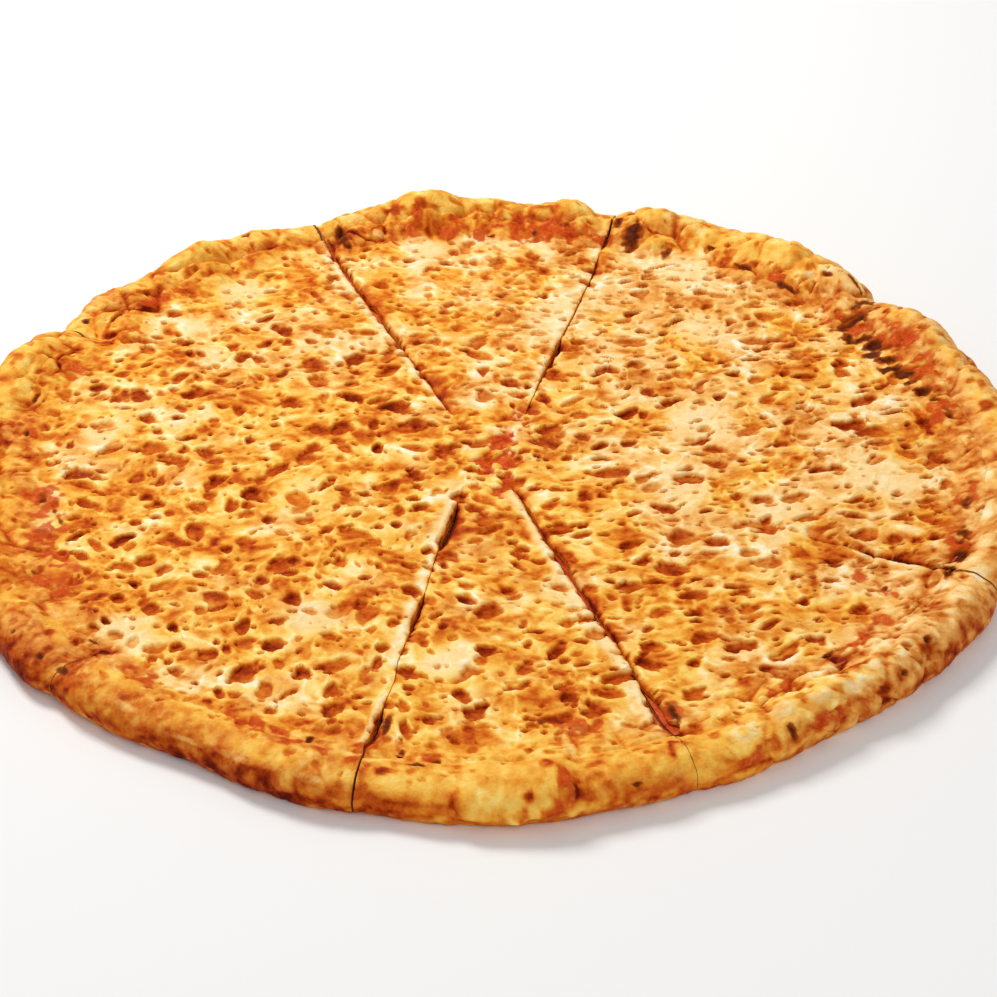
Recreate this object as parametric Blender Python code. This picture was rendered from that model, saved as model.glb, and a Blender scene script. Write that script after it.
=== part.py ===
# A large round cheese pizza, cut into eight slices that still lie together.
# Each slice is dough with a raised rim, a film of sauce and a layer of cheese.
# It rests on its flat underside at z = 0, with +Z up and the middle at the origin.

import math
import random

import bmesh
import bpy

# Driving dimensions, in metres
PIZZA_RADIUS = 0.178
DOUGH_DEPTH = 0.0054
SAUCE_DEPTH = 0.0012
CHEESE_DEPTH = 0.0027
LAYER_GAP = 0.0003
CUT_GAP = 0.0010
NEAR_RIM_HEIGHT = 0.0118
FAR_RIM_HEIGHT = 0.0138
KINK_RADIUS = 0.021
TIP_CLEARANCE = 0.0004

# Thickness left where a layer runs out on the rim
SAUCE_EDGE = 0.0006
CHEESE_EDGE = 0.0009

# The relief of the cheese
SWELL_HEIGHT = 0.0005
FINE_SWELL_SHARE = 0.5
PIT_DEPTH_RANGE = (0.0006, 0.0016)
PIT_SHARE = 0.34
CUT_SAG = 0.0007
THIN_EDGE_LOSS = 0.3
RELIEF_SEED = 14

# The swells are products of two waves: radians per metre along X and along Y, phase in radians
BROAD_SWELL_WAVES = ((210.0, 70.0, 0.0), (-50.0, 190.0, 0.5 * math.pi))
FINE_SWELL_WAVES = ((0.0, 430.0, 1.3), (390.0, 0.0, 0.0))

# Degrees of the circle that one column of the mesh takes
COLUMN_DEGREES = 2.6

# Each cut: its direction in degrees, its sideways drift, and the notch where it meets the edge
CUTS = (
    (36.6, 0.0000, 0.0035),
    (75.6, -0.0046, 0.0032),
    (112.1, 0.0029, 0.0022),
    (150.8, 0.0015, 0.0034),
    (222.5, 0.0000, 0.0030),
    (259.1, -0.0057, 0.0010),
    (289.5, 0.0005, 0.0014),
    (335.0, 0.0000, 0.0024),
)
NOTCH_DEGREES = 2.4
NOTCH_DROP = 0.6

# Fine waves round the pizza: size in metres, waves per turn, phase in radians
OUTLINE_RIPPLES = ((0.0006, 7.0, 0.8), (0.0005, 17.0, 2.1))
CREST_RIPPLES = ((0.0005, 13.0, 1.0), (0.0004, 29.0, 0.0))

# Bubbles and dips of the rim: middle and spread in degrees, rise or fall of the crest
RIM_SWELLS = (
    (25.0, 6.5, 0.0045),
    (49.0, 6.5, 0.0050),
    (69.5, 3.5, 0.0040),
    (79.5, 3.0, 0.0030),
    (98.0, 4.2, 0.0062),
    (115.0, 3.2, -0.0030),
    (121.5, 2.0, 0.0020),
    (130.0, 3.2, 0.0048),
    (139.0, 3.0, -0.0034),
    (148.5, 4.0, -0.0036),
    (160.0, 4.5, 0.0036),
    (185.0, 7.0, 0.0014),
    (206.0, 5.0, 0.0010),
    (312.0, 12.0, 0.0018),
    (352.0, 8.0, 0.0012),
)

# Bulges and flats of the outline: middle and spread in degrees, change of the radius
OUTLINE_SWELLS = (
    (221.0, 5.0, 0.0040),
    (240.0, 8.0, -0.0026),
    (268.0, 12.0, 0.0008),
    (311.0, 21.0, -0.0070),
    (160.0, 8.0, 0.0010),
    (98.0, 6.0, 0.0012),
)

# Rows of the mesh, as fractions of the radius
FLAT_ROWS = (0.08, 0.14, 0.20, 0.26, 0.31, 0.36, 0.41, 0.46, 0.51, 0.56, 0.61, 0.66, 0.705, 0.75, 0.795)
RIM_FOOT = 0.84
CHEESE_END = 0.89
SAUCE_END = 0.915
RIM_CREST = 0.945
SLOPE_ROWS = (RIM_FOOT, 0.865, CHEESE_END, SAUCE_END)
# The outside of the rim: fraction of the radius, fraction of the crest's height
OUTER_ROWS = ((RIM_CREST, 1.0), (0.970, 0.95), (0.989, 0.78), (1.0, 0.47), (0.995, 0.16), (0.974, 0.0))
# The layers end on a wavering line: size as a fraction of the radius, then two waves that are multiplied
EDGE_WIGGLE = 0.011
WIGGLE_WAVES = ((5.0, 1.7), (19.0, 0.0))
# Faces that meet at more than this many degrees keep a sharp edge
SHARP_DEGREES = 50.0


def swell(angle, swells):
    """Sum of soft swells along the circle, at an angle in radians."""
    total = 0.0
    for middle, spread, size in swells:
        away = (math.degrees(angle) - middle + 180.0) % 360.0 - 180.0
        total += size * math.exp(-(away / spread) ** 2)
    return total


def ripple(angle, ripples):
    """Sum of fine waves along the circle."""
    return sum(size * math.sin(waves * angle + phase) for size, waves, phase in ripples)


def notch(angle):
    """How far the edge draws in beside the nearest cuts."""
    return swell(angle, [(cut[0], NOTCH_DEGREES, cut[2]) for cut in CUTS])


def edge_radius(angle):
    """Radius of the outline."""
    return PIZZA_RADIUS + swell(angle, OUTLINE_SWELLS) + ripple(angle, OUTLINE_RIPPLES) - notch(angle)


def crest_height(angle):
    """Height of the rim's crest above the table, greater on the far side than on the near one."""
    far_share = 0.5 + 0.5 * math.sin(angle)
    plain = NEAR_RIM_HEIGHT + (FAR_RIM_HEIGHT - NEAR_RIM_HEIGHT) * far_share
    return plain + swell(angle, RIM_SWELLS) + ripple(angle, CREST_RIPPLES) - NOTCH_DROP * notch(angle)


def slope_height(share, angle):
    """Height of the dough's top on the inner slope of the rim and on the flat inside it."""
    step = min(1.0, max(0.0, (share - RIM_FOOT) / (RIM_CREST - RIM_FOOT)))
    rise = step * step * (3.0 - 2.0 * step)
    return DOUGH_DEPTH + (crest_height(angle) - DOUGH_DEPTH) * rise


def cut_angle(cut, radius):
    """Direction of a cut at a distance from the middle, in radians."""
    return math.radians(cut[0]) + cut[1] / max(radius, KINK_RADIUS)


class Slice:
    """The plan of one slice, between two neighbouring cuts."""

    def __init__(self, number):
        self.number = number
        self.first = CUTS[number]
        following = CUTS[(number + 1) % len(CUTS)]
        turn = 360.0 if number + 1 == len(CUTS) else 0.0
        self.second = (following[0] + turn, following[1], following[2])
        self.columns = round((self.second[0] - self.first[0]) / COLUMN_DEGREES)

    def angle(self, radius, column):
        """Angle of a column, where the slice is narrowed by half a cut on each side."""
        half_cut = math.asin(min(1.0, 0.5 * CUT_GAP / radius))
        low = cut_angle(self.first, radius) + half_cut
        high = cut_angle(self.second, radius) - half_cut
        return low + (high - low) * column / self.columns

    def point(self, share, column, height):
        """A point at a share of the radius, on a column, at a height."""
        radius = PIZZA_RADIUS * share
        angle = self.angle(radius, column)
        reach = radius + (edge_radius(angle) - PIZZA_RADIUS) * share ** 4
        if RIM_FOOT < share < RIM_CREST:
            waves = [math.sin(count * angle + phase) for count, phase in WIGGLE_WAVES]
            reach += PIZZA_RADIUS * EDGE_WIGGLE * waves[0] * waves[1]
        return (reach * math.cos(angle), reach * math.sin(angle), height)

    def tip(self, height):
        """The point of the slice, just clear of its neighbours."""
        low = cut_angle(self.first, KINK_RADIUS)
        high = cut_angle(self.second, KINK_RADIUS)
        middle = 0.5 * (low + high)
        reach = 0.5 * CUT_GAP / math.sin(0.5 * (high - low)) + TIP_CLEARANCE
        return (reach * math.cos(middle), reach * math.sin(middle), height)

    def rim_angle(self, column):
        """Angle of a column at the edge."""
        return self.angle(PIZZA_RADIUS, column)


def add_row(mesh, piece, share, height_at):
    """A row of vertices across a slice; height_at gives the height of each column."""
    return [mesh.verts.new(piece.point(share, column, height_at(column))) for column in range(piece.columns + 1)]


def join_rows(mesh, row, next_row, up):
    """Triangles between two rows, facing up or down, split along the same diagonal in every layer."""
    for column in range(len(row) - 1):
        outer = [row[column], next_row[column], next_row[column + 1]]
        inner = [row[column], next_row[column + 1], row[column + 1]]
        for corners in (outer, inner):
            mesh.faces.new(corners if up else corners[::-1])


def fan(mesh, tip, row, up):
    """Triangles from the tip to the first row."""
    for column in range(len(row) - 1):
        corners = [tip, row[column], row[column + 1]]
        mesh.faces.new(corners if up else corners[::-1])


def flat_sheet(mesh, tip, rows, up):
    """One flat face from the tip to the last of the rows, whose ends are its sides."""
    corners = [tip] + [row[0] for row in rows[:-1]] + rows[-1] + [row[-1] for row in reversed(rows[:-1])]
    mesh.faces.new(corners if up else corners[::-1])


def side_walls(mesh, tops, bottoms):
    """The two cut faces, between matching points of the top and the bottom, from the tip outwards."""
    for end, outward in ((0, True), (-1, False)):
        upper = [row[end] for row in tops]
        lower = [row[end] for row in bottoms]
        for inner in range(len(upper) - 1):
            corners = [upper[inner], lower[inner], lower[inner + 1], upper[inner + 1]]
            mesh.faces.new(corners if outward else corners[::-1])


def short_row(mesh, piece, share, height):
    """Only the two end points of a row, for the rim of a flat face."""
    ends = (0, piece.columns)
    return [mesh.verts.new(piece.point(share, column, height)) for column in ends]


def finish_object(mesh, name, material):
    """Turns the mesh into a named object with one material, shaded smooth but for sharp edges."""
    data = bpy.data.meshes.new(name)
    mesh.normal_update()
    mesh.to_mesh(data)
    mesh.free()
    data.materials.append(material)
    data.shade_smooth()
    data.set_sharp_from_angle(angle=math.radians(SHARP_DEGREES))
    item = bpy.data.objects.new(name, data)
    bpy.context.scene.collection.objects.link(item)
    return item


def make_crust(piece, material):
    """Dough: a flat disc sector with a rounded, bubbled rim and a flat underside."""
    mesh = bmesh.new()
    shares = (KINK_RADIUS / PIZZA_RADIUS,) + SLOPE_ROWS
    angles = [piece.rim_angle(column) for column in range(piece.columns + 1)]
    top_tip = mesh.verts.new(piece.tip(DOUGH_DEPTH))
    base_tip = mesh.verts.new(piece.tip(0.0))
    tops = [short_row(mesh, piece, shares[0], DOUGH_DEPTH)]
    for share in shares[1:]:
        tops.append(add_row(mesh, piece, share, lambda column, at=share: slope_height(at, angles[column])))
    for share, part in OUTER_ROWS:
        tops.append(add_row(mesh, piece, share, lambda column, up=part: crest_height(angles[column]) * up))
    flat_sheet(mesh, top_tip, tops[:2], True)
    for inner in range(1, len(tops) - 1):
        join_rows(mesh, tops[inner], tops[inner + 1], True)
    crest = len(shares)
    bases = [short_row(mesh, piece, share, 0.0) for share in shares + (RIM_CREST,)]
    bases.append(tops[-1])
    flat_sheet(mesh, base_tip, bases, False)
    side_walls(mesh, [[top_tip]] + tops[:crest + 1], [[base_tip]] + bases[:crest + 1])
    for end, outward in ((0, True), (-1, False)):
        corners = [tops[crest][end], bases[crest][end]] + [row[end] for row in reversed(tops[crest + 1:])]
        mesh.faces.new(corners if outward else corners[::-1])
    return finish_object(mesh, f"slice_{piece.number + 1}_crust", material)


def sauce_depth(share):
    """Thickness of the sauce at a share of the radius."""
    ease = min(1.0, max(0.0, (share - RIM_FOOT) / (SAUCE_END - RIM_FOOT)))
    return SAUCE_DEPTH + (SAUCE_EDGE - SAUCE_DEPTH) * ease * ease


def cheese_depth(share):
    """Thickness of the cheese at a share of the radius."""
    ease = min(1.0, max(0.0, (share - RIM_FOOT) / (CHEESE_END - RIM_FOOT)))
    return CHEESE_DEPTH + (CHEESE_EDGE - CHEESE_DEPTH) * ease * ease


def sauce_floor(share, angle):
    """Underside of the sauce."""
    return slope_height(share, angle) + LAYER_GAP


def cheese_floor(share, angle):
    """Underside of the cheese."""
    return sauce_floor(share, angle) + sauce_depth(share) + LAYER_GAP


def make_sauce(piece, material):
    """Sauce: a thin sheet over the dough that runs a little way up the rim."""
    mesh = bmesh.new()
    shares = (KINK_RADIUS / PIZZA_RADIUS,) + SLOPE_ROWS
    angles = [piece.rim_angle(column) for column in range(piece.columns + 1)]
    low = DOUGH_DEPTH + LAYER_GAP
    high = low + SAUCE_DEPTH
    top_tip = mesh.verts.new(piece.tip(high))
    base_tip = mesh.verts.new(piece.tip(low))
    tops = [short_row(mesh, piece, shares[0], high)]
    bases = [short_row(mesh, piece, shares[0], low)]
    for share in shares[1:]:
        floor = [sauce_floor(share, angle) for angle in angles]
        depth = sauce_depth(share)
        tops.append(add_row(mesh, piece, share, lambda column, at=floor, up=depth: at[column] + up))
        bases.append(add_row(mesh, piece, share, lambda column, at=floor: at[column]))
    flat_sheet(mesh, top_tip, tops[:2], True)
    flat_sheet(mesh, base_tip, bases[:2], False)
    for inner in range(1, len(tops) - 1):
        join_rows(mesh, tops[inner], tops[inner + 1], True)
        join_rows(mesh, bases[inner], bases[inner + 1], False)
    join_rows(mesh, tops[-1], bases[-1], True)
    side_walls(mesh, [[top_tip]] + tops, [[base_tip]] + bases)
    return finish_object(mesh, f"slice_{piece.number + 1}_sauce", material)


def crossed_waves(x, y, waves):
    """Product of two waves over the plan, from -1 to 1."""
    first, second = [math.sin(along_x * x + along_y * y + phase) for along_x, along_y, phase in waves]
    return first * second


def cheese_relief(piece, share, column, draw):
    """Rise or fall of the cheese's surface: soft swells, scattered pits and a sag beside the cuts."""
    x, y, _ = piece.point(share, column, 0.0)
    rise = SWELL_HEIGHT * crossed_waves(x, y, BROAD_SWELL_WAVES)
    rise += FINE_SWELL_SHARE * SWELL_HEIGHT * crossed_waves(x, y, FINE_SWELL_WAVES)
    if column in (0, piece.columns):
        return rise - CUT_SAG
    if draw.random() < PIT_SHARE:
        rise -= draw.uniform(*PIT_DEPTH_RANGE)
    return rise


def make_cheese(piece, material):
    """Cheese: a melted layer, pitted on top, that ends unevenly on the rim's slope."""
    mesh = bmesh.new()
    draw = random.Random(RELIEF_SEED + piece.number)
    angles = [piece.rim_angle(column) for column in range(piece.columns + 1)]
    low = DOUGH_DEPTH + LAYER_GAP + SAUCE_DEPTH + LAYER_GAP
    high = low + CHEESE_DEPTH
    slope_shares = [share for share in SLOPE_ROWS if share <= CHEESE_END]
    shares = list(FLAT_ROWS) + slope_shares
    top_tip = mesh.verts.new(piece.tip(high - CUT_SAG))
    base_tip = mesh.verts.new(piece.tip(low))
    tops = []
    bases = []
    for share in shares:
        floor = [cheese_floor(share, angle) for angle in angles]
        relief_share = 1.0 if share < RIM_FOOT else cheese_depth(share) / CHEESE_DEPTH - THIN_EDGE_LOSS
        heights = []
        for column in range(piece.columns + 1):
            relief = cheese_relief(piece, share, column, draw) * relief_share
            heights.append(floor[column] + cheese_depth(share) + relief)
        tops.append(add_row(mesh, piece, share, lambda column, at=heights: at[column]))
        if share < RIM_FOOT:
            bases.append(short_row(mesh, piece, share, low))
        else:
            bases.append(add_row(mesh, piece, share, lambda column, at=floor: at[column]))
    foot = len(FLAT_ROWS)
    fan(mesh, top_tip, tops[0], True)
    flat_sheet(mesh, base_tip, bases[:foot + 1], False)
    for inner in range(len(tops) - 1):
        join_rows(mesh, tops[inner], tops[inner + 1], True)
        if inner >= foot:
            join_rows(mesh, bases[inner], bases[inner + 1], False)
    join_rows(mesh, tops[-1], bases[-1], True)
    side_walls(mesh, [[top_tip]] + tops, [[base_tip]] + bases)
    return finish_object(mesh, f"slice_{piece.number + 1}_cheese", material)


def plain_material(name, color, roughness):
    """A Principled material of one colour."""
    material = bpy.data.materials.new(name)
    material.use_nodes = True
    shader = material.node_tree.nodes["Principled BSDF"]
    shader.inputs["Base Color"].default_value = (*color, 1.0)
    shader.inputs["Roughness"].default_value = roughness
    shader.inputs["Metallic"].default_value = 0.0
    return material


def crust_material():
    """Baked dough, golden tan."""
    return plain_material("baked_dough", (0.72, 0.38, 0.11), 0.62)


def sauce_material():
    """Cooked tomato sauce, deep red."""
    return plain_material("tomato_sauce", (0.42, 0.06, 0.02), 0.40)


def cheese_material():
    """Melted cheese, pale yellow."""
    return plain_material("melted_cheese", (0.92, 0.62, 0.22), 0.38)


def clear_scene():
    """Removes the objects that a new file starts with."""
    for item in list(bpy.data.objects):
        bpy.data.objects.remove(item, do_unlink=True)


def centre_on_origin(items):
    """Moves the whole so that the middle of its outline's box is at the origin."""
    places = [vertex.co for item in items for vertex in item.data.vertices]
    middles = []
    for axis in (0, 1):
        values = [place[axis] for place in places]
        middles.append(0.5 * (min(values) + max(values)))
    for place in places:
        place.x -= middles[0]
        place.y -= middles[1]


def main():
    clear_scene()
    dough = crust_material()
    sauce = sauce_material()
    cheese = cheese_material()
    items = []
    for number in range(len(CUTS)):
        piece = Slice(number)
        items.append(make_crust(piece, dough))
        items.append(make_sauce(piece, sauce))
        items.append(make_cheese(piece, cheese))
    centre_on_origin(items)


main()
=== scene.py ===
import math

import bpy
import numpy as np
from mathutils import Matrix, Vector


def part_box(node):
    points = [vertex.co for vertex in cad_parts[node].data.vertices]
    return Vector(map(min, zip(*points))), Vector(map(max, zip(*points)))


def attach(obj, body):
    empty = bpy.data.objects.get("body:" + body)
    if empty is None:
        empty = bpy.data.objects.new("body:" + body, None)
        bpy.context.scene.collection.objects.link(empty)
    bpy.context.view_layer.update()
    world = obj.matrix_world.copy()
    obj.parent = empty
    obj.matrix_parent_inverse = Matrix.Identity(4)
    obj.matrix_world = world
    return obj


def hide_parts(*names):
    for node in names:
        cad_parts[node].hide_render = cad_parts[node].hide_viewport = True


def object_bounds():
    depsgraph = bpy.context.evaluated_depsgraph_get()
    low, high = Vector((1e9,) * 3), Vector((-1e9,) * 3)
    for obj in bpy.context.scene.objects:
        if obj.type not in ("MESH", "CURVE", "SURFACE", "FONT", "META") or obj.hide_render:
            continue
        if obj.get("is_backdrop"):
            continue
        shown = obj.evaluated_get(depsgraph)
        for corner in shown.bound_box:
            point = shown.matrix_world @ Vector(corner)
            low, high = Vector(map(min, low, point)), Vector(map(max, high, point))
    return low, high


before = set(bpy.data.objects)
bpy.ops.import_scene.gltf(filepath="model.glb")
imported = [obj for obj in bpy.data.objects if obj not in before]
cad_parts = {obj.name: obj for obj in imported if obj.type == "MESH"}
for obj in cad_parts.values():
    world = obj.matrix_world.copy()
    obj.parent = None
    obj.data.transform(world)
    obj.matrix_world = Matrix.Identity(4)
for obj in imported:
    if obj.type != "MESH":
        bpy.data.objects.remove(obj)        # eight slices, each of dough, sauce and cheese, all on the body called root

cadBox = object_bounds()
cadNodes = sorted(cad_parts)

# The whole pizza, in metres; angles are in degrees, anticlockwise from +X
pizza = {
    "radius": 0.178,
    "doughDepth": 0.0054,
    "sauceDepth": 0.0012,
    "cheeseDepth": 0.0027,
    "layerGap": 0.0003,
    "cutGap": 0.0010,
    "nearRim": 0.0118,  # height of the crest at the front
    "farRim": 0.0138,  # and at the back
    "kinkRadius": 0.021,  # inside this the cuts run straight to the middle
    "rimFoot": 0.84,  # shares of the radius
    "rimCrest": 0.945,
    "wallFoot": 0.974,
    "wallBelly": 0.47,  # share of the crest's height where the rim is widest
    "notchSpread": 2.4,
    "cutWobble": 0.0006,
    "wobbleSize": 0.011,
    "notchDrop": 0.6,  # share of a notch's depth that the crest falls by
    "outlineRipples": [(0.0006, 7.0, 0.8), (0.0005, 17.0, 2.1)],  # size, waves per turn, phase
    "crestRipples": [(0.0005, 13.0, 1.0), (0.0004, 29.0, 0.0)],
    "frameTip": 0.0004,  # clearance of the slices' tips in the frame
    "tipClearance": 0.0003,
    "smoothDegrees": 55.0,  # faces that meet at more than this keep a sharp edge
}
crestPath = pizza["radius"] * pizza["rimCrest"]  # along the skin from the middle to the crest

# Each cut: direction in degrees, half its gap through the rim in millimetres, its fuller edge (0 is the
# slice after it, 1 the one before), then its sideways drift and its notch in the outline, in metres. "open"
# has the stretches where it stands open, from one share of the radius to another, with half the gap, and
# "strip" those with a smooth pale strip beside it, with its width, both in millimetres.
cuts = [
    {"angle": 36.6, "rimGap": 0.35, "full": 0, "drift": 0.0, "notch": 0.0035,
     "open": [(0.93, 1.1, 0.50)], "strip": []},
    {"angle": 75.6, "rimGap": 0.45, "full": 0, "drift": -0.0046, "notch": 0.0032,
     "open": [(0.16, 0.34, 0.25), (0.33, 0.44, 0.90), (0.44, 0.80, 0.28), (0.84, 1.1, 0.70)],
     "strip": [(0.22, 0.45, 3.2), (0.44, 0.66, 9.0), (0.78, 0.92, 6.0)]},
    {"angle": 112.1, "rimGap": 0.45, "full": 0, "drift": 0.0029, "notch": 0.0022,
     "open": [(0.17, 0.42, 0.40), (0.42, 0.80, 0.90), (0.80, 1.1, 0.75)], "strip": [(0.20, 0.92, 3.2)]},
    {"angle": 150.8, "rimGap": 0.35, "full": 0, "drift": 0.0015, "notch": 0.0034,
     "open": [(0.91, 1.1, 0.60)], "strip": []},
    {"angle": 222.5, "rimGap": 0.22, "full": 1, "drift": 0.0, "notch": 0.0030,
     "open": [(0.88, 1.1, 0.35)], "strip": []},
    {"angle": 259.1, "rimGap": 0.32, "full": 1, "drift": -0.0057, "notch": 0.0010,
     "open": [(0.18, 0.31, 0.85), (0.31, 0.47, 0.18), (0.47, 0.57, 0.80), (0.57, 0.78, 0.16),
              (0.78, 0.90, 0.80), (0.90, 1.1, 0.40)],
     "strip": [(0.12, 0.33, 4.6), (0.33, 0.66, 3.8), (0.74, 0.90, 2.4)]},
    {"angle": 289.5, "rimGap": 0.10, "full": 1, "drift": 0.0005, "notch": 0.0014,
     "open": [(0.12, 0.62, 0.80), (0.62, 0.76, 0.50), (0.76, 0.93, 2.00), (0.93, 1.1, 0.40)],
     "strip": [(0.12, 0.50, 3.2), (0.46, 0.78, 6.0), (0.74, 0.92, 3.0)]},
    {"angle": 335.0, "rimGap": 0.40, "full": 1, "drift": 0.0, "notch": 0.0024,
     "open": [(0.60, 0.70, 0.35), (0.70, 1.1, 0.80)], "strip": [(0.72, 0.93, 3.0)]},
]

# Bubbles and dips of the rim: middle and spread in degrees, rise of the crest
rimSwells = [
    (25.0, 6.5, 0.0045), (49.0, 6.5, 0.0050), (69.5, 3.5, 0.0040), (79.5, 3.0, 0.0030), (98.0, 4.2, 0.0062),
    (115.0, 3.2, -0.0030), (121.5, 2.0, 0.0020), (130.0, 3.2, 0.0048), (139.0, 3.0, -0.0034),
    (148.5, 4.0, -0.0036), (160.0, 4.5, 0.0036), (185.0, 7.0, 0.0014), (206.0, 5.0, 0.0010),
    (312.0, 12.0, 0.0018), (352.0, 8.0, 0.0012),
]
# Bulges and flats of the outline: middle and spread in degrees, change of the radius
edgeSwells = [
    (221.0, 5.0, 0.0040), (240.0, 8.0, -0.0026), (268.0, 12.0, 0.0008), (311.0, 21.0, -0.0070),
    (160.0, 8.0, 0.0010), (98.0, 6.0, 0.0012),
]


def smooth(low, high, value):
    step = np.clip((value - low) / (high - low), 0.0, 1.0)
    return step * step * (3.0 - 2.0 * step)


def softNoise(x, y, size, seed):  # a smooth random field from -1 to 1, with lumps of this size
    table = np.random.default_rng(seed).uniform(-1.0, 1.0, (256, 256))
    across, along = x / size + 512.5, y / size + 512.5
    column, row = np.floor(across).astype(int), np.floor(along).astype(int)
    fx, fy = across - column, along - row
    fx, fy = fx * fx * (3.0 - 2.0 * fx), fy * fy * (3.0 - 2.0 * fy)
    corner = lambda dx, dy: table[(column + dx) % 256, (row + dy) % 256]
    near = corner(0, 0) * (1.0 - fx) + corner(1, 0) * fx
    far = corner(0, 1) * (1.0 - fx) + corner(1, 1) * fx
    return near * (1.0 - fy) + far * fy


def roughNoise(x, y, size, seed, layers=3):
    total = 0.0
    for layer in range(layers):
        total = total + softNoise(x, y, size / 2.1 ** layer, seed + layer) * 0.5 ** layer
    return total / 1.5


def turnTo(angle, direction):  # degrees from a direction, -180 to 180
    return (np.degrees(angle) - direction + 180.0) % 360.0 - 180.0


def swellSum(angle, swells):
    total = np.zeros_like(angle)
    for direction, spread, size in swells:
        total += size * np.exp(-(turnTo(angle, direction) / spread) ** 2)
    return total


def waveSum(angle, waves):
    return sum(size * np.sin(count * angle + phase) for size, count, phase in waves)


def notchDepth(angle):
    return swellSum(angle, [(cut["angle"], pizza["notchSpread"], cut["notch"]) for cut in cuts])


def edgeRadius(angle):
    ripple = waveSum(angle, pizza["outlineRipples"])
    return pizza["radius"] + swellSum(angle, edgeSwells) + ripple - notchDepth(angle)


def edgeShift(share, angle):  # how far the uneven outline moves a point in or out
    return (edgeRadius(angle) - pizza["radius"]) * share ** 4


def crestHeight(angle):
    plain = pizza["nearRim"] + (pizza["farRim"] - pizza["nearRim"]) * (0.5 + 0.5 * np.sin(angle))
    ripple = waveSum(angle, pizza["crestRipples"])
    return plain + swellSum(angle, rimSwells) + ripple - pizza["notchDrop"] * notchDepth(angle)


def slopeHeight(share, angle):  # the dough's top on the flat and on the inner slope of the rim
    rise = smooth(pizza["rimFoot"], pizza["rimCrest"], share)
    return pizza["doughDepth"] + (crestHeight(angle) - pizza["doughDepth"]) * rise


def cutAngle(cut, radius):
    return math.radians(cut["angle"]) + cut["drift"] / np.maximum(radius, pizza["kinkRadius"])


def wobblyCut(cut, radius):  # the same line as the knife really drew it
    wobble = pizza["cutWobble"] * softNoise(radius, 0.0 * radius + cut["angle"], pizza["wobbleSize"], 17)
    return cutAngle(cut, radius) + wobble * smooth(0.02, 0.05, radius) / radius


def findMiddle():  # where the cuts meet, from the place of the first slice's tip in the frame
    tipAngles = [float(cutAngle(cuts[number], pizza["kinkRadius"])) for number in (0, 1)]
    spread = tipAngles[1] - tipAngles[0]
    reach = 0.5 * pizza["cutGap"] / math.sin(0.5 * spread) + pizza["frameTip"]
    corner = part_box("slice_1_crust")[0]
    turn = 0.5 * sum(tipAngles)
    return corner.x - reach * math.cos(turn), corner.y - reach * math.sin(turn)


middle = findMiddle()
middleText = [round(value * 1000, 2) for value in middle]
print("frame", len(cadNodes), "nodes, middle of the cuts at", middleText, "mm")


# Small tools for modelling

def deselectAll():
    if bpy.context.object and bpy.context.object.mode != "OBJECT":
        bpy.ops.object.mode_set(mode="OBJECT")
    bpy.ops.object.select_all(action="DESELECT")


def pickOnly(piece):
    deselectAll()
    piece.select_set(True)
    bpy.context.view_layer.objects.active = piece


def readPlaces(piece):
    places = np.empty(len(piece.data.vertices) * 3)
    piece.data.vertices.foreach_get("co", places)
    return places.reshape(-1, 3)


def writePlaces(piece, places):
    piece.data.vertices.foreach_set("co", np.ascontiguousarray(places, dtype=np.float32).ravel())
    piece.data.update()


def readFaces(piece):  # the normal and the centre of every face
    normals = np.empty(len(piece.data.polygons) * 3)
    centres = np.empty(len(piece.data.polygons) * 3)
    piece.data.polygons.foreach_get("normal", normals)
    piece.data.polygons.foreach_get("center", centres)
    return normals.reshape(-1, 3), centres.reshape(-1, 3)


def addValues(piece, name, values):
    layer = piece.data.attributes.new(name, "FLOAT", "POINT")
    layer.data.foreach_set("value", np.ascontiguousarray(values, dtype=np.float32))


def wedgeBlock(name, rows, columns, halfAngle):
    # A grid cut to a triangle whose tip is at the origin, then raised into a thin block, top at z = 1
    deselectAll()
    bpy.ops.mesh.primitive_grid_add(x_subdivisions=rows, y_subdivisions=columns, size=1.0, location=(0, 0, 0))
    piece = bpy.context.object
    piece.name = name
    bpy.ops.object.mode_set(mode="EDIT")
    bpy.ops.mesh.select_all(action="SELECT")
    bpy.ops.transform.translate(value=(0.5, 0, 0))
    bpy.ops.transform.resize(value=(1, 2.0 * math.tan(halfAngle), 1), center_override=(0, 0, 0))
    for side in (1, -1):
        bpy.ops.mesh.select_all(action="SELECT")
        outward = (-math.sin(halfAngle), side * math.cos(halfAngle), 0)
        bpy.ops.mesh.bisect(plane_co=(0, 0, 0), plane_no=outward, clear_outer=True)
    bpy.ops.mesh.select_all(action="SELECT")
    bpy.ops.mesh.remove_doubles(threshold=0.15 / rows)
    bpy.ops.mesh.extrude_region_move(TRANSFORM_OT_translate={"value": (0, 0, 1)})
    bpy.ops.mesh.select_all(action="SELECT")
    bpy.ops.mesh.normals_make_consistent(inside=False)
    bpy.ops.object.mode_set(mode="OBJECT")
    return piece


def dissolveBelow(piece, flatHeight):  # one face for the flat part of the underside
    normals, centres = readFaces(piece)
    flat = (normals[:, 2] < -0.999) & (np.abs(centres[:, 2] - flatHeight) < 1e-6)
    pickOnly(piece)
    bpy.ops.object.mode_set(mode="EDIT")
    bpy.ops.mesh.select_mode(type="FACE")
    bpy.ops.mesh.select_all(action="DESELECT")
    bpy.ops.object.mode_set(mode="OBJECT")
    piece.data.polygons.foreach_set("select", flat)
    bpy.ops.object.mode_set(mode="EDIT")
    bpy.ops.mesh.dissolve_faces()
    bpy.ops.object.mode_set(mode="OBJECT")


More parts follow.
